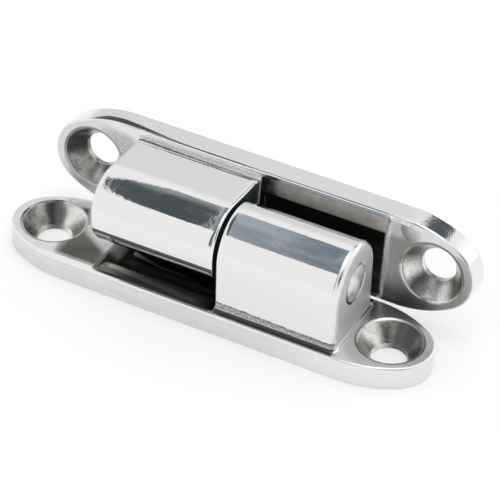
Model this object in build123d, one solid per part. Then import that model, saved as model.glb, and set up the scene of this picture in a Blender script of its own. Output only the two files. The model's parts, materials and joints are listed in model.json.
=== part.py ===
"""Cast cabinet hinge: two oblong leaves whose half-length knuckles turn on one pin.

Millimetres. +X runs along the pin, +Y to the back, +Z up. The front leaf lies flat with its
underside on z = 0, and the origin is the middle of its screw holes. The rear leaf stands open
behind it, at the angle where the long edges of the two leaves meet.
"""
import math
import os

from build123d import *

# Leaf casting
hole_spacing = 60.0             # between the two screw holes of one leaf
screw_hole_diameter = 5.8
countersink_diameter = 10.4
countersink_rim = 1.8           # metal left between a countersink and the tip of the leaf
screw_land = 1.0                # straight bore left under the countersink
leaf_width = 16.0
leaf_thickness = 4.0
nose_length = 12.4              # over which each end narrows to its round tip
shoulder_drop = 1.8             # radius of that tip is less than half the width by this much

# Knuckles
ledge_land = 0.2                # flat left between the foot of a knuckle and the edge rounding
knuckle_rise = 2.15             # from the round of a knuckle to the face of the other leaf
knuckle_gap = 0.5               # between the two knuckles
knuckle_split = 2.6             # middle of that gap, from the middle of the front leaf
rear_leaf_shift = 2.3           # middle of the rear leaf, from the middle of the front leaf
front_pad_land = 0.45           # flat between the foot of the knuckle and its countersink
rear_pad_land = 2.15

# Trough below the other leaf's knuckle
trough_floor = 1.8              # metal left under the trough
trough_land = 0.4               # flat left between the trough and the edge rounding
trough_shelf = 3.0              # shallow shelf along each side, before the deeper groove
shelf_drop = 0.5                # how far the shelf slopes down to the groove
shelf_edge_radius = 0.6         # rounding between the shelf and the groove
trough_lip_radius = 0.7         # rounding where the pad drops into the trough
front_trough_pad = 6.2          # flat between the trough's lip and the countersink
rear_trough_pad = 2.65
front_trough_slope = 40.0       # how steeply the end of the trough drops from the pad
rear_trough_slope = 80.0

# Pin
pin_diameter = 6.0
pin_dome = 0.55                 # how far each domed end stands out of its knuckle
running_clearance = 0.05        # radial, where the rear leaf turns on the pin
bore_chamfer = 0.45             # at the outer mouth of each bore

# Edge rounding
edge_radius = 0.4               # along the top of a leaf
rim_chamfer = 0.3               # round the mouth of a countersink
foot_fillet = 0.7               # between a knuckle and its leaf
knuckle_end_radius = 1.0        # outer end of a knuckle
knuckle_face_radius = 0.4       # end of a knuckle at the gap

# Worked out from the driving dimensions
half_width = leaf_width / 2
leaf_length = hole_spacing + countersink_diameter + 2 * countersink_rim
nose_start = leaf_length / 2 - nose_length
tip_radius = half_width - shoulder_drop
tip_centre = leaf_length / 2 - tip_radius
shoulder_radius = ((nose_length - tip_radius)**2 + half_width**2 - tip_radius**2) / (2 * shoulder_drop)
ledge_width = foot_fillet + ledge_land + edge_radius
knuckle_radius = half_width - ledge_width
pin_height = knuckle_radius + knuckle_rise          # pin axis above a leaf's face
pin_axis_z = leaf_thickness + pin_height
countersink_depth = leaf_thickness - screw_land
countersink_edge = hole_spacing / 2 - countersink_diameter / 2
trough_depth = leaf_thickness - trough_floor
trough_half_width = half_width - edge_radius - trough_land
groove_half_width = trough_half_width - trough_shelf
front_knuckle_face = knuckle_split + knuckle_gap / 2
rear_knuckle_face = rear_leaf_shift - knuckle_split + knuckle_gap / 2
rest_opening = 180 - 2 * math.degrees(math.atan2(half_width, pin_height))

# A tool that cuts through a wall runs past it by this much
overrun = 1.0

# Edges are found by their place, to within this much
tolerance = 1e-3


def along_x(radius, start, end, height):
    """A round bar lying along X between two stations, at a height above the leaf's face."""
    middle = Pos((start + end) / 2, 0, height)
    return middle * Rot(0, 90, 0) * Cylinder(radius, end - start)


def leaf_outline():
    """The leaf from above: straight sides, and at each end two shoulders that run into a round tip."""
    turn = math.atan2(shoulder_radius - half_width, tip_centre - nose_start)
    join = (tip_centre + tip_radius * math.cos(turn), tip_radius * math.sin(turn))
    with BuildSketch() as outline:
        with BuildLine():
            for side in (1, -1):
                x, y = side * join[0], side * join[1]
                Line((-side * nose_start, side * half_width), (side * nose_start, side * half_width))
                RadiusArc((side * nose_start, side * half_width), (x, y), shoulder_radius)
                ThreePointArc((x, y), (side * leaf_length / 2, 0), (x, -y))
                RadiusArc((x, -y), (side * nose_start, -side * half_width), shoulder_radius)
        make_face()
    return outline.sketch


def leaf_plate():
    """The oblong plate, with its face on z = 0, rounded along the top and ground square underneath."""
    plate = extrude(leaf_outline(), amount=-leaf_thickness)
    return fillet(plate.faces().sort_by(Axis.Z)[-1].edges(), edge_radius)


def end_arch(knuckle, place):
    """The edges of one end of a knuckle, without the edge that is sunk in the leaf."""
    end = knuckle.faces().sort_by(Axis.X)[place]
    return end.edges().sort_by(Axis.Z)[1:]


def knuckle_block(start, end):
    """A knuckle: two flat walls that run into a round over the pin."""
    foot_depth = leaf_thickness / 2
    wall_height = pin_height + foot_depth
    walls = Pos(0, pin_height - wall_height / 2) * Rectangle(2 * knuckle_radius, wall_height)
    section = walls + Pos(0, pin_height) * Circle(knuckle_radius)
    knuckle = Pos(start, 0, 0) * extrude(Plane.YZ * section, amount=end - start)
    knuckle = fillet(end_arch(knuckle, -1), knuckle_end_radius)
    return fillet(end_arch(knuckle, 0), knuckle_face_radius)


def foot_edges(leaf, start, end):
    """The edges where a knuckle stands on the face of its leaf."""
    found = []
    for edge in leaf.edges():
        box = edge.bounding_box()
        flat = abs(box.min.Z) < tolerance and abs(box.max.Z) < tolerance
        inside = max(-box.min.Y, box.max.Y) < knuckle_radius + tolerance
        beside = box.min.X > start - tolerance and box.max.X < end + tolerance
        if flat and inside and beside:
            found.append(edge)
    return found


def trough_section(clear):
    """The trough from its end: a sloping shelf down each side and a round-bottomed groove between."""
    edge = (groove_half_width, -shelf_drop)
    far_edge = (-groove_half_width, -shelf_drop)
    with BuildSketch(Plane.YZ) as section:
        with BuildLine():
            Polyline(edge, (trough_half_width, 0), (trough_half_width, clear), (-trough_half_width, clear),
                     (-trough_half_width, 0), far_edge)
            ThreePointArc(far_edge, (0, -trough_depth), edge)
        make_face()
        fillet(section.vertices().sort_by_distance((0, 0, -shelf_drop))[:2], shelf_edge_radius)
    return section.sketch


def trough_tool(lip, slope, face):
    """What is cut for the trough, whose end slopes down from a rounded lip."""
    turn = math.radians(slope)
    top = (lip + trough_lip_radius * math.sin(turn), trough_lip_radius * (math.cos(turn) - 1))
    deep = -leaf_thickness
    bottom = (top[0] + (top[1] - deep) / math.tan(turn), deep)
    clear = foot_fillet + overrun
    with BuildSketch(Plane.XZ) as side:
        with BuildLine():
            Line((lip, clear), (lip, 0))
            RadiusArc((lip, 0), top, trough_lip_radius)
            Polyline(top, bottom, (face, deep), (face, clear), (lip, clear))
        make_face()
    channel = extrude(side.sketch, amount=leaf_width, both=True)
    return channel & extrude(trough_section(clear), amount=leaf_length, both=True)


def screw_hole(x):
    """What is cut for one countersunk screw hole."""
    shank = Pos(x, 0, -leaf_thickness / 2) * Cylinder(screw_hole_diameter / 2, leaf_thickness + 2 * overrun)
    head = Cone(screw_hole_diameter / 2, countersink_diameter / 2, countersink_depth)
    return shank + Pos(x, 0, -countersink_depth / 2) * head


def countersink_mouths(leaf):
    """The two round edges where the countersinks break the face of the leaf."""
    found = []
    for edge in leaf.edges().filter_by(GeomType.CIRCLE):
        on_face = abs(edge.center().Z) < tolerance
        if on_face and abs(edge.radius - countersink_diameter / 2) < tolerance:
            found.append(edge)
    return found


def leaf_casting(face, pad_land, trough_pad, trough_slope, bore_radius):
    """One leaf, face up, with its knuckle towards +X and its trough towards -X."""
    end = countersink_edge - pad_land - foot_fillet
    lip = trough_pad - countersink_edge
    leaf = leaf_plate() + knuckle_block(face, end)
    leaf = fillet(foot_edges(leaf, face, end), foot_fillet)
    leaf -= trough_tool(lip, trough_slope, face)
    leaf -= along_x(bore_radius, face - overrun, end + overrun, pin_height)
    mouth = Cone(bore_radius, bore_radius + bore_chamfer, bore_chamfer)
    leaf -= Pos(end - bore_chamfer / 2, 0, pin_height) * Rot(0, 90, 0) * mouth
    for side in (-1, 1):
        leaf -= screw_hole(side * hole_spacing / 2)
    return chamfer(countersink_mouths(leaf), rim_chamfer)


def front_leaf():
    """The front leaf, lying on z = 0, with the pin pressed into its knuckle."""
    leaf = leaf_casting(front_knuckle_face, front_pad_land, front_trough_pad, front_trough_slope,
                        pin_diameter / 2)
    return Pos(0, 0, leaf_thickness) * leaf


def rear_leaf():
    """The rear leaf, turned over to face the front one and then opened about the pin."""
    bore_radius = pin_diameter / 2 + running_clearance
    leaf = leaf_casting(rear_knuckle_face, rear_pad_land, rear_trough_pad, rear_trough_slope, bore_radius)
    facing_down = Pos(rear_leaf_shift, 0, pin_axis_z + pin_height) * Rot(0, 180, 0) * leaf
    return facing_down.rotate(Axis((0, 0, pin_axis_z), (1, 0, 0)), -rest_opening)


def hinge_pin():
    """The pin, through both knuckles, with a low dome on each end."""
    right = countersink_edge - front_pad_land - foot_fillet
    left = rear_leaf_shift - (countersink_edge - rear_pad_land - foot_fillet)
    radius = pin_diameter / 2
    dome_radius = (radius**2 + pin_dome**2) / (2 * pin_dome)
    to_centre = dome_radius - pin_dome
    pin = along_x(radius, left, right, pin_axis_z)
    blank = along_x(radius, left - pin_dome, right + pin_dome, pin_axis_z)
    for centre in (left + to_centre, right - to_centre):
        pin += blank & Pos(centre, 0, pin_axis_z) * Sphere(dome_radius)
    return pin


pieces = {
    "front_leaf": front_leaf(),
    "rear_leaf": rear_leaf(),
    "hinge_pin": hinge_pin(),
}

os.makedirs("parts", exist_ok=True)
for name, piece in pieces.items():
    export_step(piece, os.path.join("parts", name + ".step"))
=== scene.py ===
"""Looks for a polished cast cabinet hinge: steel finishes, studio, camera.

Places on a leaf are in millimetres from the middle of its face: x along it, with the knuckle towards +x,
y across it, z out of the face. The studio is in metres, in the frame of the CAD model.
"""
import json
import math

import bpy
from mathutils import Matrix, Vector


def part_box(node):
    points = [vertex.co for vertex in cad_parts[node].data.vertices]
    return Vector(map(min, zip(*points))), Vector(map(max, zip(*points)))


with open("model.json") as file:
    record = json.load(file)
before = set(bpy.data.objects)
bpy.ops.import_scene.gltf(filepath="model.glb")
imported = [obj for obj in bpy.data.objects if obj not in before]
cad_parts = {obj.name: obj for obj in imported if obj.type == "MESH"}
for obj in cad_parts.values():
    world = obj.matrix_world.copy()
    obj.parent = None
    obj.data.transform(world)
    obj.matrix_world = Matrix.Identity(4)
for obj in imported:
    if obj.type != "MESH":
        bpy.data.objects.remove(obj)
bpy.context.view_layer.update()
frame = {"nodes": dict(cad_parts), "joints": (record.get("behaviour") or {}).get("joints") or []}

MM = 0.001

# A leaf, as the CAD model has it
LEAF_THICKNESS = 4.0
PIN_HEIGHT = 8.85               # pin's axis above the face
PIN_RADIUS = 3.0
HOLE_REACH = 30.0               # screw holes from the middle of the leaf
COUNTERSINK_RADIUS = 5.2
TROUGH_HALF_WIDTH = 7.2
LEDGE_HALF_WIDTH = 7.6          # to the start of the rounded edge

# What differs between the leaves. A span is a pair: where a zone begins, and where it is full.
FRONT = {
    # Places and spans
    "face": 2.85,                               # end of the knuckle at the gap
    "end": 23.65,                               # other end of the knuckle
    "lip": -18.60,                              # top of the trough's sloping end
    "roll_off": 1.1,                            # length of the knuckle's roll at the gap
    "foot_top": 1.4,                            # height of the rough band at the knuckle's foot
    "gap_edge": 0.30,                           # how far the painted shade of the gap face reaches round its edge
    "land_edge": 7.10,                          # inner edge of the flat beside the trough
    "nook": (23.6, 24.2),                       # along x, where the two leaves meet
    "groove_start": (-0.15, -0.45),             # down z, where the shelf gives way to the groove
    "slope_reach": (2.2, 1.4),                  # x past the lip, for the back of the trough's end
    "pad_rise": (0.4, -1.2),                    # x past the lip, where the dish in the pad begins
    "dish": (-2.5, 4.5, 0.60),                  # middle, half width and depth of that dish
    "glint_spots": ((-27.9, 3.6, 3.0), (25.9, 0.3, 3.6)),      # in the countersinks, painted light reflections, and on the next line dark ones: middle and radius
    "dark_reflection_spots": ((-32.1, 3.6, 2.4), (31.0, 3.9, 3.6)),
    # Shares of the finishes, and of the painted shade and reflections
    "nook_shade": 0.45,
    "pad_shade": 0.0,
    "shelf_shade": 0.75,
    "corner_shade": 1.0,
    "side_shade": 1.0,
    "cone_shade": 0.95,
    "pad_dark_reflection": 1.0,
    "dark_reflection_line": 0.0,
    "streak": 0.0,
    "shaded_satin": 0.0,
    "trough_rough": 0.26,
    # Colours: the rough foot's dark speckle; painted shade on the front of the trough's end; its back,
    # painted a little light on the front leaf and painted shade on the rear one; painted shade on the flat
    # beside the trough, on the trough's lip and on the gap face
    "foot_dark": (0.36, 0.35, 0.33),
    "slope_front_shade": (0.10, 0.10, 0.09),
    "slope_back": (0.86, 0.85, 0.83),
    "land_shade": (0.13, 0.13, 0.125),
    "lip_front_shade": (0.12, 0.12, 0.115),
    "gap_shade_colour": (0.035, 0.04, 0.04),
}
REAR = {
    # Places and spans
    "face": -0.05,
    "end": 21.95,
    "lip": -22.15,
    "roll_off": 1.3,
    "foot_top": 0.85,
    "gap_edge": 0.12,
    "land_edge": 7.20,
    "nook": (-22.0, -22.6),
    "groove_start": (-0.40, -0.75),
    "slope_reach": (9.0, 8.0),
    "pad_rise": (0.6, -0.6),
    "dish": (0.0, 7.0, 0.54),
    "glint_spots": ((-26.0, 0.8, 2.6), (-32.0, 4.1, 2.3)),
    "dark_reflection_spots": ((34.0, -0.7, 3.0), (-27.9, 3.7, 2.2)),
    # Shares of the finishes, and of the painted shade and reflections
    "nook_shade": 1.0,
    "pad_shade": 1.0,
    "shelf_shade": 0.0,
    "corner_shade": 0.1,
    "side_shade": 0.0,
    "cone_shade": 0.80,
    "pad_dark_reflection": 0.0,
    "dark_reflection_line": 1.0,
    "streak": 1.0,
    "shaded_satin": 1.0,
    "trough_rough": 0.50,
    # Colours: the rough foot's dark speckle; painted shade on the front of the trough's end; its back,
    # painted a little light on the front leaf and painted shade on the rear one; painted shade on the flat
    # beside the trough, on the trough's lip and on the gap face
    "foot_dark": (0.62, 0.61, 0.59),
    "slope_front_shade": (0.45, 0.45, 0.43),
    "slope_back": (0.45, 0.45, 0.43),
    "land_shade": (0.42, 0.45, 0.48),
    "lip_front_shade": (0.45, 0.45, 0.44),
    "gap_shade_colour": (0.14, 0.18, 0.175),
}

# Noises on a leaf: stretch along x, scale per millimetre, detail, roughness
NOISES = {
    "grain": (1.0, 4.0, 4.0, 0.6),
    "mottle": (1.0, 0.55, 5.0, 0.65),
    "wave": (1.0, 0.16, 1.0, 0.5),
    "ripple": (1.0, 1.1, 1.5, 0.5),
    "streaks": (0.05, 1.4, 3.0, 0.5),
    "grinding": (0.03, 5.0, 4.0, 0.6),
    "smear": (0.15, 1.2, 3.0, 0.5),
}
NOISE_MIDDLE = 0.5

# Spans shared by several zones
COMMON = {
    "clear_of_hole": (0.4, 0.8),                # radius past the countersink
    "over_trough": (-0.1, -0.02),               # z
    "under_knuckle": (0.3, 0.1),                # z
    "past_face": (-0.2, 0.2),                   # x from the knuckle's gap end
    "before_end": (0.1, -0.3),                  # x from the knuckle's other end
    "past_end": (-0.3, 0.0),                    # x from the knuckle's other end
    "back": (0.10, 0.03),                       # z from the leaf's back
    "steep": (0.35, 0.55),                      # part of the normal along the leaf
    "level": (0.55, 0.35),                      # part of the normal along the leaf
}

# Trough: its groove, the gleams in it, its lip and the flat beside it
TROUGH = {
    "past_lip": (0.1, 0.4),                     # x from the lip
    "before_face": (0.0, -0.1),                 # x from the knuckle's gap end
    "under_face": (-0.002, -0.02),              # z
    "over_back": (-3.2, -2.8),                  # z
    "inside": (0.05, -0.05),                    # across, from the half width
    "back_of_end": (-3.2, -1.4),                # y
}
GROOVE = {
    "ragged": 0.4,                              # how far streaks shift its start
    "near_knuckle": (-3.8, -0.6),               # x from the knuckle's gap end
    "knuckle_ragged": 4.0,                      # how far the mottle shifts that
    "far_half": (-1.0, 1.0),                    # y
}
SHELF_GLEAM = {
    "start": -16.7,                             # x
    "slant": -0.094,                            # added to across, for each millimetre along x
    "inner": (3.8, 4.5),                        # across, at the start
    "outer": (5.7, 5.1),                        # across, at the start
    "past_lip": (1.2, 2.2),                     # x from the lip
    "fading": (2.0, -8.0),                      # x
    "strength": (0.5, 1.0),                     # at the ends of the fading
}
GROOVE_GLEAM = {
    "start": -17.2,                             # x
    "middle": 1.51,                             # y at the start
    "bend": -0.16,                              # y, for each millimetre along x
    "least": 0.43,                              # y
    "narrowing": (-18.0, -11.0),                # x
    "widths": (0.75, 0.30),                     # to either side, at the ends of the narrowing
    "core": 0.05,                               # to either side, where it is full
    "fading": (-4.0, -9.0),                     # x
}
LIP = {
    "start": (-0.3, 0.0),                       # x from the lip
    "end": (0.9, 0.5),                          # x from the lip
    "over_groove": (-1.2, -0.8),                # z
    "strength": 0.9,
}
LAND = {
    "past_lip": (0.0, 1.0),                     # x from the lip
    "before_face": (0.0, -1.0),                 # x from the knuckle's gap end
    "inner": (-0.15, 0.0),                      # across, from the land's edge
    "outer": (0.15, 0.0),                       # across, from the ledge's half width
    "over_side": (-0.6, -0.4),                  # z
}

# Screw holes: spans are radii from the countersink's
HOLES = {
    "cone": (0.1, -0.1),
    "rim": (3.0, 1.6),
    "blotched_rim": (0.2, 0.5),                     # of the mottle
    "bevel": (0.0, 0.1),
    "bevel_end": (0.4, 0.3),
    "spot_core": 0.4,                           # share of its radius that is full
}

# Pads between the holes and the knuckle or the trough, with painted shade in the nook where the leaves meet
# and on the pad beside it, and a painted dark reflection on the dished pad
END_PAD = {
    "over_side": (-0.5, -0.3),                  # z
    "round_hole": (5.0, 3.0),                   # radius past the countersink
    "before_tip": (30.0, 26.5),                 # reach
    "past_edge": (-7.0, -5.5),                  # y
}
NOOK = {
    "to_edge": (1.5, 6.4),                      # y
    "before_tip": (34.0, 29.0),                 # reach
    "dull_edge": (-5.2, -3.8),                  # y
}
DISH = {
    "past_hole": (-28.0, -23.5),                # x
    "over_trough": (-0.4, -0.2),                # z
    "dull_lip": (0.6, -0.2),                    # x from the lip
    "dull_hole": (27.0, 25.0),                  # reach
    "dull_edge": (-7.2, -6.8),                  # y
}
# Spans of the painted dark reflection on the front leaf's dished pad
PAD_REFLECTION_SPANS = {
    "before_lip": (0.2, -0.4),                  # x from the lip
    "before_hole": (26.5, 25.0),                # reach
    "slant_start": -23.0,                       # x
    "slant": 0.6,                               # added to y, for each millimetre along x
    "slanted_edge": (0.2, -1.6),                # y at the slant's start
    "past_edge": (-6.8, -6.0),                  # y
}

# Knuckle: its foot with painted shade in its corner, its ends, a painted dark reflection along its
# underside, and painted shade on its gap face and in the mouth of its bore
FOOT = {
    "fall": (0.15, -0.25),                      # height gained at the gap and lost at the other end
    "ragged": 0.5,                              # how far the mottle shifts the top
    "under_top": (0.25, -0.05),                 # z from the top
    "over_face": (0.0, 0.05),                   # z
    "line": (0.30, 0.10),                       # distance from the top
    "uneven": (0.6, 0.4),                       # shares of grain and mottle in the dots
    "dots": (0.40, 0.56),                       # of that noise
    "unbroken": (-11.0, -5.0),                  # x from the knuckle's end
}
# Painted shade in the corner at the knuckle's foot
CORNER = {
    "top": (0.50, 0.25),                        # z
    "bottom": (-0.03, 0.0),                     # z
    "inside": (0.1, -0.05),                     # across, from the ledge's half width
}
KNUCKLE = {
    # A painted dark reflection along the rear knuckle's underside
    "dark_line_place": 2.5,                          # y
    "dark_reflection_line": (0.55, 0.35),                       # distance from that place
    "dark_line_height": (0.0, 1.0),                  # z from the pin's axis
    "gap_core": 0.4,                            # share of the gap's edge
    "gap_foot": (0.5, 1.0),                     # z
    "end_face": (0.75, 0.95),                   # part of the normal along the leaf
    "end_face_foot": (-0.1, 0.1),               # z
    "end_round": (-1.2, -0.7),                  # x from the knuckle's end
    "end_round_foot": (0.4, 0.9),               # z
}
# Painted shade in the mouth of the bore
BORE = {
    "depth": (-0.8, -0.6),                      # x from the knuckle's end
    "edge": (0.5, 0.35),                        # radius past the pin's
    "to_front": (1.5, -1.0),                    # y
    "front_strength": (0.3, 1.0),
    "to_foot": (1.5, -1.0),                     # z from the pin's axis
    "foot_strength": (0.15, 1.0),
}

# Sides of the leaf: a painted dark reflection along one edge, the noses, and painted shade on the flanks
# A painted dark reflection along one edge of the rear leaf
STREAK = {
    "widening": (14.0, 26.0),                   # x
    "narrowing": (32.0, 28.0),                  # x
    "width": 1.2,                               # added between those
    "top": (-0.20, -0.35),                      # z
    "bottom": (-0.45, -0.25),                   # z, before it widens
    "start": (12.0, 15.0),                      # x
    "end": (31.4, 30.0),                        # x
    "edge": (-1.0, -3.0),                       # y
}
NOSE = {
    "start": (24.0, 27.0),                      # reach
    "under_edge": (-0.2, -0.5),                 # z
}
SIDE = {
    "under_edge": (-0.3, -0.6),                 # z
    "fading": (24.0, 6.0),                      # x
    "strength": (0.2, 1.0),                     # at the ends of the fading
    "flank": (7.6, 7.8),                        # across
    "nose": (24.0, 25.0),                       # reach
}

# How far each zone is satin, the roughness that zones add to the polish, and relief in millimetres
SATIN = {
    "end_face": 1.0,
    "end_pad": 1.0,
    "rim": 0.25,
    "shaded_satin": 1.0,
    "lip": 0.8,
    "end_round": 0.7,
    "land": 0.6,
}
POLISH = (0.04, 0.08)
POLISH_SMEAR = (0.3, 0.7)
ROUGHNESS = {
    "countersink": 0.22,
    "satin": 0.26,
    "end_slope": 0.30,
    "foot": 0.40,
    "end_face": 0.18,
    "back": 0.28,
    "side": 0.10,
    "dull_dish": 0.28,
}
RELIEF = {
    "wave": 0.03,
    "ripple": 0.007,
    "nose": 0.04,
    "foot": 0.03,
    "countersink": 0.03,
    "back": 0.01,
}
ROLL_SLOPE = 0.12
ROLL_FOOT = (0.9, 1.9)                          # z

# Colours of a leaf, painted shade, light and reflections among them, and the spans of noise between a dark
# and a light one
STEEL = (0.82, 0.82, 0.815)
CONE_DARK, CONE_LIGHT = (0.36, 0.35, 0.325), (0.62, 0.61, 0.585)
# Painted light reflections in the countersinks
GLINT_DARK, GLINT_LIGHT = (0.70, 0.69, 0.67), (0.95, 0.94, 0.92)
SPECKLE_DARK, SPECKLE_LIGHT = (0.38, 0.38, 0.37), (0.66, 0.66, 0.65)
GROUND_DARK, GROUND_LIGHT = (0.44, 0.44, 0.43), (0.66, 0.66, 0.65)
SHELF_DARK, SHELF_LIGHT = (0.80, 0.765, 0.715), (0.92, 0.885, 0.835)
# Dark cast skin deep in the trough, with painted shade
SKIN_AND_SHADE_DARK, SKIN_AND_SHADE_LIGHT = (0.03, 0.03, 0.028), (0.07, 0.065, 0.055)
# Painted shade on the front leaf's flanks, in blotches
SIDE_SHADE_DARK, SIDE_SHADE_LIGHT = (0.70, 0.70, 0.695), (0.76, 0.76, 0.755)
FOOT_LIGHT = (0.84, 0.83, 0.81)
BLOTCHES = (0.38, 0.62)
SPECKLES = (0.40, 0.60)
SCRATCHES = (0.35, 0.65)
SKIN_AND_SHADE_STREAKS = (0.45, 0.75)
SIDE_SMEAR = (0.30, 0.70)
# Painted dark reflections in the countersinks
CONE_DARK_REFLECTION = (0.13, 0.135, 0.13)
RIM_COLOUR = (0.68, 0.68, 0.685)
# Painted dark reflection on the front leaf's dished pad
PAD_DARK_REFLECTION_COLOUR = (0.21, 0.205, 0.175)
BEVEL_COLOUR = (0.42, 0.42, 0.41)
# Painted shade on the rear leaf's pad by the nook, and on the back of the trough's lip
SHADE_GREY = (0.45, 0.45, 0.44)
# Painted shade in the nook where the leaves meet
NOOK_SHADE_COLOUR = (0.10, 0.10, 0.095)
SHELF_SHADE = (0.12, 0.115, 0.105)
GLEAM_COLOUR = (0.95, 0.92, 0.72)
DARK_LINE_REFLECTION = (0.06, 0.07, 0.07)
# Painted dark reflections under the rear knuckle and along one edge
DOT_COLOUR = (0.16, 0.16, 0.15)
# Painted shade in the corner at the knuckle's foot
CORNER_SHADE_COLOUR = (0.07, 0.08, 0.075)
# Painted shade in the mouth of the bore
BORE_SHADE = (0.05, 0.05, 0.05)

# Pin
PIN_DARK, PIN_LIGHT = (0.74, 0.74, 0.73), (0.96, 0.96, 0.95)
PIN_MOTTLE = (0.8, 4.0, 0.6)                    # scale per millimetre, detail, roughness
PIN_DENTS = (1.6, 3.0)                          # scale per millimetre, detail
PIN_BLOTCHES = (0.35, 0.65)
PIN_GLOSS_BLOTCHES = (0.3, 0.7)
PIN_ROUGHNESS = (0.34, 0.46)
PIN_BUMP = 0.15
PIN_BUMP_DEPTH = 0.0002                         # metres

# Camera, as the photograph was taken
CAMERA_TARGET = Vector((0.00328, 0.00433, 0.00820))
CAMERA_DISTANCE = 0.409
CAMERA_AZIMUTH = 26.29
CAMERA_ELEVATION = 39.07
CAMERA_ROLL = 2.08
CAMERA_LENS = 187.2
SENSOR_WIDTH = 36.0
CLIP_START = 0.01
CLIP_END = 20.0

# Floor and lamp
FLOOR_SIZE = 3.0
FLOOR_COLOUR = (0.98, 0.98, 0.98)
FLOOR_SHADOW = 0.55                             # share of the floor's white that shadow can take
SOFTBOX_SIZE = 0.35
SOFTBOX_POWER = 1.2
SOFTBOX_PLACE = (0.12, 0.03, 0.8)

# Room: white, with parts given by a direction, the cosines from it where the part comes in, and a colour
WHITE = (1.0, 1.0, 1.0)
ROOM = {
    "low_back": ((-0.45, 0.85, 0.10), (0.80, 0.98), (0.78, 0.78, 0.79)),
    "window": ((0.62, 0.76, 0.18), (0.90, 0.96), (1.35, 1.35, 1.35)),
    "dim_corner": ((0.62, -0.60, 0.51), (0.91, 0.975), (0.06, 0.065, 0.065)),
    "high_back": ((0.06, 0.81, 0.585), (0.980, 0.990), (0.10, 0.12, 0.13)),
}
UPRIGHT = {
    "left": (-0.33, -0.28),                     # x / -y
    "right": (-0.08, -0.13),                    # x / -y
    "least_front": 0.05,                        # -y, so that nothing is divided by nought
    "bottom": (0.05, 0.20),                     # z
    "top": (0.90, 0.75),                        # z
    "front": (-0.10, -0.25),                    # y
    "colour": (0.16, 0.18, 0.19),
}

# Card over the hinge: its edges, and the bands on it from left to right
CARD_HEIGHT = 0.113
CARD_LEFT, CARD_RIGHT = -0.130, -0.006
CARD_FRONT, CARD_BACK = -0.090, 0.060
CARD_RISE = 0.094                               # above the knuckles
CARD_LEAN = 0.375                               # with the rise, bends the bands' ends
CARD_DARK = (0.075, 0.092, 0.102)
CARD_FLECK = (0.24, 0.27, 0.30)
CARD_GREY = (0.29, 0.325, 0.355)
CARD_PALE = (0.38, 0.44, 0.50)
CARD_DEEP = (0.19, 0.23, 0.27)
CARD_CLOUD = (0.44, 0.49, 0.53)
CLOUDS = (320.0, 4.0, 0.6)                      # scale per metre, detail, roughness
CLOUD_STRETCH = (1.0, 0.06, 1.0)
DARK_BAND = {
    "slant": -0.09,                             # added to x, for each metre along y
    "ragged": 0.004,                            # how far clouds shift its left end
    "left": (-0.0598, -0.0580),                 # x
    "right": (0.0030, -0.0010),                 # along
    "fading": (0.010, 0.060),                   # y
    "strength": (1.0, 0.7),                     # at the ends of the fading
    "flecks": (0.50, 0.72),                     # of the clouds
    "fleck_start": (-0.045, 0.020),             # y
}
GREY_BAND = {
    "left": (0.0000, 0.0030),                   # along
    "middle": -0.015,                           # y
    "half_width": 0.075,                        # y
    "corner_power": 6.0,
    "corner": 0.004,                            # how far its left end is rounded off
    "pale": (-0.022, 0.012),                    # y
    "deep": (0.010, 0.024),                     # along
    "clouds": (0.45, 0.75),                     # of the clouds
}

# Sockets of the colour mixing node
MIX_SHARE, MIX_FIRST, MIX_SECOND, MIX_COLOUR = 0, 6, 7, 2


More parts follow.
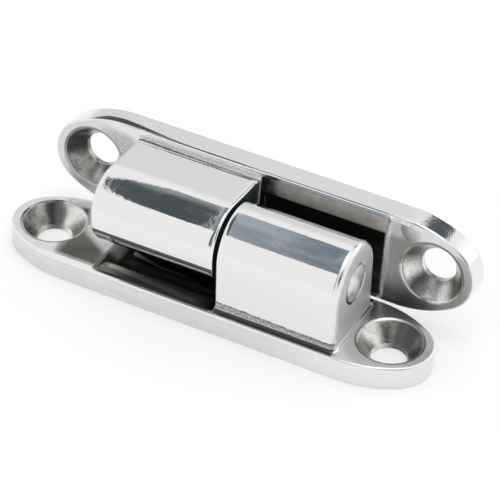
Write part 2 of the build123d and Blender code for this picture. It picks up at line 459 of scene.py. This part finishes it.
class Nodes:
    """A short way to write a shader tree."""

    def __init__(self, tree):
        self.tree = tree
        tree.nodes.clear()

    def add(self, kind, **inputs):
        """A new node with its inputs set, a space in an input's name being written as _."""
        node = self.tree.nodes.new(kind)
        for name, value in inputs.items():
            self.put(node, name.replace("_", " "), value)
        return node

    def put(self, node, socket, value):
        """Links or sets one input of a node."""
        target = node.inputs[socket]
        if isinstance(value, bpy.types.NodeSocket):
            self.tree.links.new(value, target)
        else:
            target.default_value = value

    def math(self, operation, first, second=0.0):
        node = self.tree.nodes.new("ShaderNodeMath")
        node.operation = operation
        self.put(node, 0, first)
        self.put(node, 1, second)
        return node.outputs[0]

    def fold(self, operation, values):
        total = values[0]
        for value in values[1:]:
            total = self.math(operation, total, value)
        return total

    def times(self, *values):
        return self.fold("MULTIPLY", values)

    def plus(self, *values):
        return self.fold("ADD", values)

    def most(self, *values):
        return self.fold("MAXIMUM", values)

    def less(self, value, other):
        return self.math("SUBTRACT", value, other)

    def absolute(self, value):
        return self.math("ABSOLUTE", value)

    def length(self, first, second):
        """The length of a vector from its two parts."""
        return self.math("SQRT", self.plus(self.times(first, first), self.times(second, second)))

    def map_range(self, kind, *numbers):
        """A value moved from one range to another: the value, the old range, the new range."""
        node = self.tree.nodes.new("ShaderNodeMapRange")
        node.interpolation_type = kind
        for socket, number in enumerate(numbers):
            self.put(node, socket, number)
        return node.outputs[0]

    def ramp(self, value, low, high, to_low=0.0, to_high=1.0):
        """A smooth step from to_low to to_high as value goes from low to high."""
        return self.map_range("SMOOTHSTEP", value, low, high, to_low, to_high)

    def step(self, value, span, start=0.0, ends=(0.0, 1.0)):
        """A smooth step over a span that is measured from start."""
        return self.ramp(value, start + span[0], start + span[1], *ends)

    def fade(self, value, length):
        """One at nought, and falling to nought over a length, faster at first."""
        return self.math("POWER", self.map_range("LINEAR", value, 0.0, length, 1.0, 0.0), 2.0)

    def mix(self, share, first, second):
        """A colour between two colours."""
        node = self.tree.nodes.new("ShaderNodeMix")
        node.data_type = "RGBA"
        self.put(node, MIX_SHARE, share)
        self.put(node, MIX_FIRST, first)
        self.put(node, MIX_SECOND, second)
        return node.outputs[MIX_COLOUR]

    def noise(self, vector, scale, detail, roughness=0.5):
        node = self.add("ShaderNodeTexNoise", Vector=vector, Scale=scale, Detail=detail, Roughness=roughness)
        return node.outputs["Fac"]

    def stretch(self, vector, scale):
        return self.add("ShaderNodeMapping", Vector=vector, Scale=scale).outputs["Vector"]

    def split(self, vector):
        return self.add("ShaderNodeSeparateXYZ", Vector=vector).outputs

    def coordinates(self, kind):
        """One kind of texture coordinates."""
        return self.add("ShaderNodeTexCoord").outputs[kind]


class Point:
    """A point on a leaf: its coordinates and distances, and the zones that other zones start from."""

    def __init__(self, nodes, at, leaf):
        self.x, self.y, self.z = nodes.split(at)
        self.across = nodes.absolute(self.y)
        self.reach = nodes.absolute(self.x)
        self.sideways = nodes.absolute(nodes.split(nodes.coordinates("Normal"))[0])
        self.hole_radius = nodes.length(nodes.less(self.reach, HOLE_REACH), self.y)
        self.clear_of_hole = nodes.step(self.hole_radius, COMMON["clear_of_hole"], COUNTERSINK_RADIUS)
        self.under_knuckle = nodes.step(self.z, COMMON["under_knuckle"])
        self.on_face = nodes.times(nodes.step(self.z, COMMON["over_trough"]), self.under_knuckle)
        self.past_end = nodes.step(self.x, COMMON["past_end"], leaf["end"])
        self.beside_knuckle = nodes.times(nodes.step(self.x, COMMON["past_face"], leaf["face"]),
                                          nodes.step(self.x, COMMON["before_end"], leaf["end"]))
        self.back = nodes.step(self.z, COMMON["back"], -LEAF_THICKNESS)
        self.off_back = nodes.less(1.0, self.back)


def rgba(colour):
    return (*colour, 1.0)


def scaled(colour, share):
    return tuple(part * share for part in colour)


def new_material(name):
    material = bpy.data.materials.new(name)
    material.use_nodes = True
    return material, Nodes(material.node_tree)


def leaf_vector(nodes, place):
    """The coordinates on a leaf that the finishes are laid out in."""
    to_leaf = Matrix.Scale(1 / MM, 4) @ place.inverted()
    mapping = nodes.add("ShaderNodeMapping", Vector=nodes.coordinates("Object"))
    mapping.inputs["Location"].default_value = to_leaf.to_translation()
    mapping.inputs["Rotation"].default_value = to_leaf.to_euler("XYZ")
    mapping.inputs["Scale"].default_value = (1 / MM,) * 3
    return mapping.outputs["Vector"]


def front_place():
    """Where the front leaf's face is in the frame."""
    return Matrix.Translation((0, 0, LEAF_THICKNESS * MM))


def rear_place():
    """Where the rear leaf's face is in the frame, opened about the pin."""
    joint = frame["joints"][0]
    pin = Vector(joint["pos_m"])
    opening = math.radians(joint["range_deg"][1] / 2)
    low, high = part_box("rear_leaf")
    height = pin.z - LEAF_THICKNESS * MM
    above = Matrix.Translation(((low.x + high.x) / 2, 0, pin.z + height))
    facing = above @ Matrix.Rotation(math.pi, 4, "Y")
    turn = Matrix.Translation(pin) @ Matrix.Rotation(-opening, 4, "X") @ Matrix.Translation(-pin)
    return turn @ facing


def grains(nodes, at):
    """Fine and coarse grain, slow waves, and streaks left along the leaf by the polishing belt."""
    found = {}
    for name, (along, scale, detail, roughness) in NOISES.items():
        found[name] = nodes.noise(nodes.stretch(at, (along, 1.0, 1.0)), scale, detail, roughness)
    return found


def groove_share(nodes, point, leaf, grain):
    """Where the trough has dark cast skin and painted shade: below the shelf, near the knuckle and in the +y
    half.
    """
    ragged = nodes.plus(point.z, nodes.times(grain["streaks"], GROOVE["ragged"]))
    shift = GROOVE["knuckle_ragged"]
    from_gap = nodes.plus(point.x, nodes.times(grain["mottle"], shift), -shift * NOISE_MIDDLE)
    return nodes.most(nodes.step(ragged, leaf["groove_start"]),
                      nodes.step(from_gap, GROOVE["near_knuckle"], leaf["face"]),
                      nodes.step(point.y, GROOVE["far_half"]))


def shelf_gleam(nodes, point, leaf):
    """A gleam along the shelf of the trough, which slants away from the middle towards the gap."""
    past_start = nodes.less(point.x, SHELF_GLEAM["start"])
    slanted = nodes.plus(point.across, nodes.times(past_start, SHELF_GLEAM["slant"]))
    return nodes.times(nodes.step(slanted, SHELF_GLEAM["inner"]), nodes.step(slanted, SHELF_GLEAM["outer"]),
                       nodes.step(point.x, SHELF_GLEAM["past_lip"], leaf["lip"]),
                       nodes.step(point.x, SHELF_GLEAM["fading"], ends=SHELF_GLEAM["strength"]))


def groove_gleam(nodes, point):
    """A thin gleam along the groove, which bends and widens towards the trough's end."""
    past_start = nodes.less(point.x, GROOVE_GLEAM["start"])
    bend = nodes.plus(GROOVE_GLEAM["middle"], nodes.times(past_start, GROOVE_GLEAM["bend"]))
    off_middle = nodes.absolute(nodes.less(point.y, nodes.most(bend, GROOVE_GLEAM["least"])))
    width = nodes.step(point.x, GROOVE_GLEAM["narrowing"], ends=GROOVE_GLEAM["widths"])
    return nodes.times(nodes.ramp(off_middle, width, GROOVE_GLEAM["core"]),
                       nodes.step(point.x, GROOVE_GLEAM["fading"]))


def trough_zones(nodes, point, leaf, grain):
    """The trough, with its sloping end, its groove of cast skin and painted shade, its painted gleams, and
    painted shade on its shelf.
    """
    trough = nodes.times(nodes.step(point.x, TROUGH["past_lip"], leaf["lip"]),
                         nodes.step(point.x, TROUGH["before_face"], leaf["face"]),
                         nodes.step(point.z, TROUGH["under_face"]), nodes.step(point.z, TROUGH["over_back"]),
                         nodes.step(point.across, TROUGH["inside"], TROUGH_HALF_WIDTH))
    dull_shelf = nodes.less(1.0, shelf_gleam(nodes, point, leaf))
    from_lip = nodes.less(point.x, leaf["lip"])
    return {
        "trough": trough,
        "end_slope": nodes.times(trough, nodes.step(point.sideways, COMMON["steep"])),
        "slope_back": nodes.times(nodes.step(point.y, TROUGH["back_of_end"]),
                                  nodes.step(from_lip, leaf["slope_reach"])),
        "groove": nodes.times(trough, groove_share(nodes, point, leaf, grain),
                              nodes.step(point.sideways, COMMON["level"])),
        "shelf_dark": nodes.times(trough, dull_shelf, leaf["shelf_shade"]),
        "deep_gleam": nodes.times(trough, groove_gleam(nodes, point), leaf["shelf_shade"]),
    }


def trough_edge_zones(nodes, point, leaf):
    """The rounded lip at the end of the trough, and the flat land along its sides: both painted with shade,
    and satin.
    """
    lip = nodes.times(nodes.step(point.x, LIP["start"], leaf["lip"]),
                      nodes.step(point.x, LIP["end"], leaf["lip"]),
                      nodes.ramp(point.across, LEDGE_HALF_WIDTH, TROUGH_HALF_WIDTH),
                      nodes.step(point.z, LIP["over_groove"]))
    land = nodes.times(nodes.step(point.x, LAND["past_lip"], leaf["lip"]),
                       nodes.step(point.x, LAND["before_face"], leaf["face"]),
                       nodes.step(point.across, LAND["inner"], leaf["land_edge"]),
                       nodes.step(point.across, LAND["outer"], LEDGE_HALF_WIDTH),
                       nodes.step(point.z, LAND["over_side"]))
    return {"lip": lip, "land": land}


def spots(nodes, point, places, grain):
    """Ragged round spots, each given by its middle and radius."""
    shares = []
    for x, y, radius in places:
        off = nodes.length(nodes.less(point.x, x), nodes.less(point.y, y))
        ragged = nodes.plus(off, grain["mottle"], -NOISE_MIDDLE)
        shares.append(nodes.ramp(ragged, radius, radius * HOLES["spot_core"]))
    return nodes.most(*shares)


def hole_zones(nodes, point, leaf, grain):
    """The countersinks with their painted light and dark reflections, and the bevel and rim round them."""
    radius = point.hole_radius
    countersink = nodes.times(nodes.step(radius, HOLES["cone"], COUNTERSINK_RADIUS), point.off_back)
    return {
        "countersink": countersink,
        "rim": nodes.times(nodes.step(radius, HOLES["rim"], COUNTERSINK_RADIUS), point.on_face),
        "bevel": nodes.times(nodes.step(radius, HOLES["bevel"], COUNTERSINK_RADIUS),
                             nodes.step(radius, HOLES["bevel_end"], COUNTERSINK_RADIUS)),
        "glints": nodes.times(spots(nodes, point, leaf["glint_spots"], grain), countersink),
        "dark_reflections": nodes.times(spots(nodes, point, leaf["dark_reflection_spots"], grain), countersink),
    }


def end_pad_zones(nodes, point, leaf):
    """The pad past the knuckle's end, and painted shade in the nook where the two leaves meet and on the pad
    beside it.
    """
    by_nook = nodes.times(nodes.step(point.x, leaf["nook"]), point.on_face)
    return {
        "end_pad": nodes.times(point.past_end, nodes.step(point.z, END_PAD["over_side"]),
                               point.under_knuckle),
        "dull_pad": nodes.times(point.past_end, point.on_face, leaf["pad_shade"],
                                nodes.step(point.hole_radius, END_PAD["round_hole"], COUNTERSINK_RADIUS),
                                nodes.step(point.reach, END_PAD["before_tip"]),
                                nodes.step(point.y, END_PAD["past_edge"])),
        "nook": nodes.times(by_nook, nodes.step(point.y, NOOK["to_edge"]),
                            nodes.step(point.reach, NOOK["before_tip"]), leaf["nook_shade"]),
        "shaded_satin": nodes.times(by_nook, nodes.step(point.y, NOOK["dull_edge"]), leaf["shaded_satin"]),
    }


def dish_zones(nodes, point, leaf):
    """The dished pad between the trough and its countersink, and a painted dark reflection on one side of
    it.
    """
    from_lip = nodes.less(point.x, leaf["lip"])
    over_trough = nodes.step(point.z, DISH["over_trough"])
    slanted = nodes.times(nodes.less(point.x, PAD_REFLECTION_SPANS["slant_start"]), PAD_REFLECTION_SPANS["slant"])
    return {
        "pad": nodes.times(nodes.step(from_lip, leaf["pad_rise"]), nodes.step(point.x, DISH["past_hole"]),
                           over_trough),
        "dull_dish": nodes.times(nodes.step(point.x, DISH["dull_lip"], leaf["lip"]),
                                 nodes.step(point.reach, DISH["dull_hole"]),
                                 nodes.step(point.y, DISH["dull_edge"]), over_trough, leaf["pad_dark_reflection"]),
        "pad_dark_reflection": nodes.times(nodes.step(point.x, PAD_REFLECTION_SPANS["before_lip"], leaf["lip"]), point.on_face,
                                nodes.step(point.reach, PAD_REFLECTION_SPANS["before_hole"]),
                                nodes.step(nodes.plus(point.y, slanted), PAD_REFLECTION_SPANS["slanted_edge"]),
                                nodes.step(point.y, PAD_REFLECTION_SPANS["past_edge"]), leaf["pad_dark_reflection"]),
    }


def foot_zones(nodes, point, leaf, grain):
    """Round the foot of the knuckle: painted shade in the corner, a rough band, and a dotted line at its
    top.
    """
    fall = nodes.ramp(point.x, leaf["face"], leaf["end"], *FOOT["fall"])
    top = nodes.plus(nodes.times(grain["mottle"], FOOT["ragged"]), fall,
                     leaf["foot_top"] - FOOT["ragged"] * NOISE_MIDDLE)
    from_top = nodes.less(point.z, top)
    grain_share, mottle_share = FOOT["uneven"]
    uneven = nodes.plus(nodes.times(grain["grain"], grain_share), nodes.times(grain["mottle"], mottle_share))
    unbroken = nodes.times(nodes.step(point.x, FOOT["unbroken"], leaf["end"]), leaf["dark_reflection_line"])
    return {
        "foot": nodes.times(point.beside_knuckle, nodes.step(from_top, FOOT["under_top"]),
                            nodes.step(point.z, FOOT["over_face"])),
        "dots": nodes.times(point.beside_knuckle, nodes.step(nodes.absolute(from_top), FOOT["line"]),
                            nodes.most(nodes.step(uneven, FOOT["dots"]), unbroken)),
        "corner": nodes.times(point.beside_knuckle, nodes.step(point.z, CORNER["top"]),
                              nodes.step(point.z, CORNER["bottom"]),
                              nodes.step(point.across, CORNER["inside"], LEDGE_HALF_WIDTH),
                              leaf["corner_shade"]),
    }


def knuckle_zones(nodes, point, leaf):
    """A painted dark reflection along the knuckle's underside, painted shade on its gap face, its satin end,
    and painted shade in the mouth of its bore.
    """
    off_dark_line = nodes.absolute(nodes.less(point.y, KNUCKLE["dark_line_place"]))
    gap_edge = leaf["gap_edge"]
    gap_span = (gap_edge, gap_edge * KNUCKLE["gap_core"])
    bore_radius = nodes.length(point.y, nodes.less(point.z, PIN_HEIGHT))
    return {
        "dark_reflection_line": nodes.times(nodes.step(off_dark_line, KNUCKLE["dark_reflection_line"]),
                            nodes.step(point.z, KNUCKLE["dark_line_height"], PIN_HEIGHT),
                            nodes.step(point.sideways, COMMON["level"]), leaf["dark_reflection_line"]),
        "gap_shade": nodes.times(nodes.step(point.x, gap_span, leaf["face"]),
                                nodes.step(point.z, KNUCKLE["gap_foot"])),
        "end_face": nodes.times(nodes.step(point.sideways, KNUCKLE["end_face"]), point.clear_of_hole,
                                nodes.step(point.z, KNUCKLE["end_face_foot"])),
        "end_round": nodes.times(nodes.step(point.x, KNUCKLE["end_round"], leaf["end"]),
                                 nodes.step(point.z, KNUCKLE["end_round_foot"])),
        "bore_mouth": nodes.times(nodes.step(point.x, BORE["depth"], leaf["end"]),
                                  nodes.step(bore_radius, BORE["edge"], PIN_RADIUS),
                                  nodes.step(point.y, BORE["to_front"], ends=BORE["front_strength"]),
                                  nodes.step(point.z, BORE["to_foot"], PIN_HEIGHT, BORE["foot_strength"])),
    }


def side_zones(nodes, point, leaf):
    """The sides of the leaf: painted shade on its flanks and nose walls, its noses, and a painted dark
    reflection along one edge.
    """
    width = nodes.times(nodes.step(point.x, STREAK["widening"]), nodes.step(point.x, STREAK["narrowing"]),
                        STREAK["width"])
    on_nose = nodes.times(nodes.step(point.reach, SIDE["nose"]), point.clear_of_hole)
    return {
        "streak": nodes.times(nodes.step(point.z, STREAK["top"]),
                              nodes.step(nodes.plus(point.z, width), STREAK["bottom"]),
                              nodes.step(point.x, STREAK["start"]), nodes.step(point.x, STREAK["end"]),
                              nodes.step(point.y, STREAK["edge"]), point.clear_of_hole, leaf["streak"]),
        "nose": nodes.times(nodes.step(point.reach, NOSE["start"]), nodes.step(point.z, NOSE["under_edge"]),
                            point.clear_of_hole),
        "side": nodes.times(nodes.step(point.z, SIDE["under_edge"]), point.off_back, leaf["side_shade"],
                            nodes.step(point.x, SIDE["fading"], ends=SIDE["strength"]),
                            nodes.most(nodes.step(point.across, SIDE["flank"]), on_nose)),
    }


def zones(nodes, point, leaf, grain):
    """How far a point of a leaf belongs to each zone of the casting, from 0 to 1."""
    zone = {
        **trough_zones(nodes, point, leaf, grain),
        **trough_edge_zones(nodes, point, leaf),
        **hole_zones(nodes, point, leaf, grain),
        **end_pad_zones(nodes, point, leaf),
        **dish_zones(nodes, point, leaf),
        **foot_zones(nodes, point, leaf, grain),
        **knuckle_zones(nodes, point, leaf),
        **side_zones(nodes, point, leaf),
        "back": point.back,
    }
    zone["satin"] = nodes.most(*(nodes.times(zone[name], share) for name, share in SATIN.items()))
    return zone


def blotched(nodes, noise, span, dark, light):
    """A colour that goes between two by a noise."""
    return nodes.mix(nodes.step(noise, span), rgba(dark), rgba(light))


def leaf_colour(nodes, zone, grain, leaf):
    """The steel's colour, with the colours of the zones laid over it in turn, painted shade, light and
    reflections among them.
    """
    mottle = grain["mottle"]
    cone_dark = scaled(CONE_DARK, leaf["cone_shade"])
    cone_light = scaled(CONE_LIGHT, leaf["cone_shade"])
    # The rim goes greyer in blotches that follow the mottle
    blotched_rim = nodes.times(zone["rim"], nodes.step(mottle, HOLES["blotched_rim"]))
    layers = (
        (zone["countersink"], blotched(nodes, mottle, BLOTCHES, cone_dark, cone_light)),
        # painted light reflections in the countersinks
        (zone["glints"], blotched(nodes, mottle, BLOTCHES, GLINT_DARK, GLINT_LIGHT)),
        # painted dark reflections in the countersinks
        (zone["dark_reflections"], rgba(CONE_DARK_REFLECTION)),
        (blotched_rim, rgba(RIM_COLOUR)),
        # painted dark reflection on the front leaf's dished pad
        (zone["pad_dark_reflection"], rgba(PAD_DARK_REFLECTION_COLOUR)),
        (zone["dull_pad"], blotched(nodes, grain["grain"], SPECKLES, SPECKLE_DARK, SPECKLE_LIGHT)),
        (zone["bevel"], rgba(BEVEL_COLOUR)),
        # painted shade on the rear leaf's pad by the nook
        (zone["shaded_satin"], rgba(SHADE_GREY)),
        # painted shade in the nook where the leaves meet
        (zone["nook"], rgba(NOOK_SHADE_COLOUR)),
        # painted shade on the trough's lip
        (nodes.times(zone["lip"], LIP["strength"]),
         nodes.mix(zone["slope_back"], rgba(leaf["lip_front_shade"]), rgba(SHADE_GREY))),
        (zone["back"], blotched(nodes, grain["grinding"], SCRATCHES, GROUND_DARK, GROUND_LIGHT)),
        (zone["trough"], blotched(nodes, mottle, SCRATCHES, SHELF_DARK, SHELF_LIGHT)),
        (zone["shelf_dark"], rgba(SHELF_SHADE)),
        # dark cast skin deep in the trough, with painted shade
        (zone["groove"], blotched(nodes, grain["streaks"], SKIN_AND_SHADE_STREAKS, SKIN_AND_SHADE_DARK, SKIN_AND_SHADE_LIGHT)),
        (zone["deep_gleam"], rgba(GLEAM_COLOUR)),
        # painted shade on the front of the trough's end; its back painted a little light on the front leaf
        # and painted shade on the rear one
        (zone["end_slope"],
         nodes.mix(zone["slope_back"], rgba(leaf["slope_front_shade"]), rgba(leaf["slope_back"]))),
        # painted shade on the flat beside the trough
        (zone["land"], rgba(leaf["land_shade"])),
        # painted shade on the front leaf's flanks, weaker towards the nose past the knuckle
        (zone["side"], blotched(nodes, grain["smear"], SIDE_SMEAR, SIDE_SHADE_DARK, SIDE_SHADE_LIGHT)),
        # painted dark reflections under the rear knuckle and along one edge
        (nodes.most(zone["dark_reflection_line"], zone["streak"]), rgba(DARK_LINE_REFLECTION)),
        (zone["foot"], blotched(nodes, grain["grain"], BLOTCHES, leaf["foot_dark"], FOOT_LIGHT)),
        (zone["dots"], rgba(DOT_COLOUR)),
        # painted shade in the corner at the knuckle's foot
        (zone["corner"], rgba(CORNER_SHADE_COLOUR)),
        # painted shade on the gap face
        (zone["gap_shade"], rgba(leaf["gap_shade_colour"])),
        # painted shade in the mouth of the bore
        (zone["bore_mouth"], rgba(BORE_SHADE)),
    )
    colour = rgba(STEEL)
    for share, paint in layers:
        colour = nodes.mix(share, colour, paint)
    return colour


def leaf_roughness(nodes, zone, grain, leaf):
    """A mirror polish with faint smears, and what each zone adds to it."""
    amounts = {**ROUGHNESS, "trough": leaf["trough_rough"]}
    added = [nodes.times(zone[name], amount) for name, amount in amounts.items()]
    return nodes.plus(nodes.step(grain["smear"], POLISH_SMEAR, ends=POLISH), *added)


def leaf_relief(nodes, point, leaf, zone, grain):
    """Relief in millimetres: waves and ripples of hand polishing, dished pads, rolled ends, cast grain."""
    off_gap = nodes.fade(nodes.less(point.x, leaf["face"]), leaf["roll_off"])
    rolled_end = nodes.times(off_gap, nodes.step(point.z, ROLL_FOOT), -ROLL_SLOPE * leaf["roll_off"])
    middle, half_width, depth = leaf["dish"]
    off_middle = nodes.times(nodes.less(point.y, middle), 1 / half_width)
    bowl = nodes.most(nodes.less(1.0, nodes.times(off_middle, off_middle)), 0.0)
    rough = nodes.plus(nodes.times(zone["foot"], RELIEF["foot"]),
                       nodes.times(zone["countersink"], RELIEF["countersink"]))
    return nodes.plus(nodes.times(grain["wave"], RELIEF["wave"]),
                      nodes.times(grain["mottle"], zone["nose"], RELIEF["nose"]),
                      nodes.times(grain["ripple"], RELIEF["ripple"]),
                      rolled_end, nodes.times(zone["pad"], bowl, -depth), nodes.times(grain["grain"], rough),
                      nodes.times(grain["grinding"], zone["back"], RELIEF["back"]))


def metal(nodes, colour, roughness, bump):
    """Ends a tree as a metal with relief."""
    shader = nodes.add("ShaderNodeBsdfPrincipled", Base_Color=colour, Metallic=1.0, Roughness=roughness,
                       Normal=bump.outputs["Normal"])
    nodes.add("ShaderNodeOutputMaterial", Surface=shader.outputs["BSDF"])


def leaf_steel(name, place, leaf):
    """Polished cast steel: mirror outside, satin by the screws, dark cast skin and painted shade deep in the
    trough, painted shade and reflections elsewhere.
    """
    material, nodes = new_material(name)
    at = leaf_vector(nodes, place)
    grain = grains(nodes, at)
    point = Point(nodes, at, leaf)
    zone = zones(nodes, point, leaf, grain)
    relief = leaf_relief(nodes, point, leaf, zone, grain)
    bump = nodes.add("ShaderNodeBump", Strength=1.0, Distance=MM, Height=relief)
    metal(nodes, leaf_colour(nodes, zone, grain, leaf), leaf_roughness(nodes, zone, grain, leaf), bump)
    return material


def pin_steel():
    """Satin steel with faint blotches and dents."""
    material, nodes = new_material("pin_steel")
    at = nodes.stretch(nodes.coordinates("Object"), (1 / MM,) * 3)
    mottle = nodes.noise(at, *PIN_MOTTLE)
    dents = nodes.noise(at, *PIN_DENTS)
    bump = nodes.add("ShaderNodeBump", Strength=PIN_BUMP, Distance=PIN_BUMP_DEPTH, Height=dents)
    metal(nodes, blotched(nodes, mottle, PIN_BLOTCHES, PIN_DARK, PIN_LIGHT),
          nodes.step(mottle, PIN_GLOSS_BLOTCHES, ends=PIN_ROUGHNESS), bump)
    return material


def dress(node, material):
    """Gives a CAD node its finish."""
    slots = frame["nodes"][node].data.materials
    slots.clear()
    slots.append(material)


def floor():
    """A white floor, the same to the camera and in the steel, on which the hinge keeps a soft shadow."""
    material, nodes = new_material("floor_white")
    path = nodes.add("ShaderNodeLightPath").outputs
    seen = nodes.most(path["Is Camera Ray"], path["Is Glossy Ray"], path["Is Transmission Ray"])
    lit = nodes.mix(seen, rgba(FLOOR_COLOUR), rgba(scaled(FLOOR_COLOUR, FLOOR_SHADOW)))
    shade = nodes.add("ShaderNodeBsdfDiffuse", Color=lit)
    glow = nodes.times(seen, 1.0 - FLOOR_SHADOW)
    white = nodes.add("ShaderNodeEmission", Color=rgba(FLOOR_COLOUR), Strength=glow)
    both = nodes.add("ShaderNodeAddShader")
    nodes.put(both, 0, shade.outputs[0])
    nodes.put(both, 1, white.outputs[0])
    nodes.add("ShaderNodeOutputMaterial", Surface=both.outputs[0])
    bpy.ops.mesh.primitive_plane_add(size=FLOOR_SIZE)
    plane = bpy.context.object
    plane.name = "studio_floor"
    plane.data.materials.append(material)


def toward(nodes, way, direction):
    """The cosine between a world direction and a fixed one."""
    node = nodes.tree.nodes.new("ShaderNodeVectorMath")
    node.operation = "DOT_PRODUCT"
    nodes.put(node, 0, way)
    nodes.put(node, 1, Vector(direction).normalized())
    return node.outputs["Value"]


def upright(nodes, way):
    """Where the room has its dark upright, at the front and a little to the left."""
    x, y, z = nodes.split(way)
    to_front = nodes.most(nodes.times(y, -1.0), UPRIGHT["least_front"])
    rightward = nodes.math("DIVIDE", x, to_front)
    return nodes.times(nodes.step(rightward, UPRIGHT["left"]), nodes.step(rightward, UPRIGHT["right"]),
                       nodes.step(z, UPRIGHT["bottom"]), nodes.step(z, UPRIGHT["top"]),
                       nodes.step(y, UPRIGHT["front"]))


def room():
    """A white room with a window at the back, dark places at the front and back, and a dark upright."""
    world = bpy.data.worlds.new("studio")
    world.use_nodes = True
    bpy.context.scene.world = world
    nodes = Nodes(world.node_tree)
    way = nodes.coordinates("Generated")
    colour = rgba(WHITE)
    for direction, cosines, tint in ROOM.values():
        colour = nodes.mix(nodes.step(toward(nodes, way, direction), cosines), colour, rgba(tint))
    colour = nodes.mix(upright(nodes, way), colour, rgba(UPRIGHT["colour"]))
    background = nodes.add("ShaderNodeBackground", Color=colour, Strength=1.0)
    nodes.add("ShaderNodeOutputWorld", Surface=background.outputs[0])


def dark_band(nodes, x, y, along, clouds):
    """How far a point of the card is in its dark band, and the colour there."""
    shift = DARK_BAND["ragged"]
    slanted = nodes.plus(x, nodes.times(y, DARK_BAND["slant"]), nodes.times(clouds, shift),
                         -shift * NOISE_MIDDLE)
    share = nodes.times(nodes.step(slanted, DARK_BAND["left"]), nodes.step(along, DARK_BAND["right"]),
                        nodes.step(y, DARK_BAND["fading"], ends=DARK_BAND["strength"]))
    flecks = nodes.times(nodes.step(clouds, DARK_BAND["flecks"]), nodes.step(y, DARK_BAND["fleck_start"]))
    return share, nodes.mix(flecks, rgba(CARD_DARK), rgba(CARD_FLECK))


def grey_band(nodes, y, along, clouds):
    """How far a point of the card is in its grey band, and the colour there."""
    off_middle = nodes.times(nodes.less(y, GREY_BAND["middle"]), 1 / GREY_BAND["half_width"])
    corner = nodes.times(nodes.math("POWER", off_middle, GREY_BAND["corner_power"]), GREY_BAND["corner"])
    tint = nodes.mix(nodes.step(y, GREY_BAND["pale"]), rgba(CARD_GREY), rgba(CARD_PALE))
    tint = nodes.mix(nodes.step(along, GREY_BAND["deep"]), tint, rgba(CARD_DEEP))
    tint = nodes.mix(nodes.step(clouds, GREY_BAND["clouds"]), tint, rgba(CARD_CLOUD))
    return nodes.step(nodes.less(along, corner), GREY_BAND["left"]), tint


def card_bands():
    """The card's glow: white, then a dark band, then a grey one."""
    material, nodes = new_material("card_bands")
    at = nodes.coordinates("Object")
    parts = nodes.split(at)
    x, y = parts[0], parts[1]
    clouds = nodes.noise(nodes.stretch(at, CLOUD_STRETCH), *CLOUDS)
    bow = nodes.math("SQRT", nodes.plus(nodes.times(y, y), CARD_RISE ** 2))
    along = nodes.plus(x, nodes.times(bow, CARD_LEAN))
    colour = rgba(WHITE)
    for share, tint in (dark_band(nodes, x, y, along, clouds), grey_band(nodes, y, along, clouds)):
        colour = nodes.mix(share, colour, tint)
    glow = nodes.add("ShaderNodeEmission", Color=colour, Strength=1.0)
    nodes.add("ShaderNodeOutputMaterial", Surface=glow.outputs[0])
    return material


def ceiling_card():
    """The card over the hinge that the knuckles mirror."""
    corners = [
        (CARD_LEFT, CARD_FRONT, CARD_HEIGHT),
        (CARD_RIGHT, CARD_FRONT, CARD_HEIGHT),
        (CARD_RIGHT, CARD_BACK, CARD_HEIGHT),
        (CARD_LEFT, CARD_BACK, CARD_HEIGHT),
    ]
    mesh = bpy.data.meshes.new("ceiling_card")
    mesh.from_pydata(corners, [], [(0, 1, 2, 3)])
    mesh.materials.append(card_bands())
    card = bpy.data.objects.new("ceiling_card", mesh)
    bpy.context.scene.collection.objects.link(card)
    card.visible_camera = False
    card.visible_diffuse = False
    card.visible_shadow = False


def softbox():
    """A soft light overhead."""
    lamp = bpy.data.lights.new("softbox", "AREA")
    lamp.shape = "SQUARE"
    lamp.size = SOFTBOX_SIZE
    lamp.energy = SOFTBOX_POWER
    light = bpy.data.objects.new("softbox", lamp)
    light.location = SOFTBOX_PLACE
    bpy.context.scene.collection.objects.link(light)


def camera():
    """The photograph's camera, from its angles and its distance to the target."""
    data = bpy.data.cameras.new("photo_camera")
    data.lens = CAMERA_LENS
    data.sensor_width = SENSOR_WIDTH
    data.clip_start = CLIP_START
    data.clip_end = CLIP_END
    turn = (Matrix.Rotation(math.radians(CAMERA_AZIMUTH), 4, "Z")
            @ Matrix.Rotation(math.radians(90 - CAMERA_ELEVATION), 4, "X")
            @ Matrix.Rotation(math.radians(CAMERA_ROLL), 4, "Z"))
    eye = bpy.data.objects.new("photo_camera", data)
    back = turn @ Vector((0, 0, CAMERA_DISTANCE))
    eye.matrix_world = Matrix.Translation(CAMERA_TARGET + back) @ turn
    bpy.context.scene.collection.objects.link(eye)
    bpy.context.scene.camera = eye


bpy.context.scene.view_settings.view_transform = "Standard"
dress("front_leaf", leaf_steel("front_leaf_steel", front_place(), FRONT))
dress("rear_leaf", leaf_steel("rear_leaf_steel", rear_place(), REAR))
dress("hinge_pin", pin_steel())
floor()
room()
ceiling_card()
softbox()
camera()
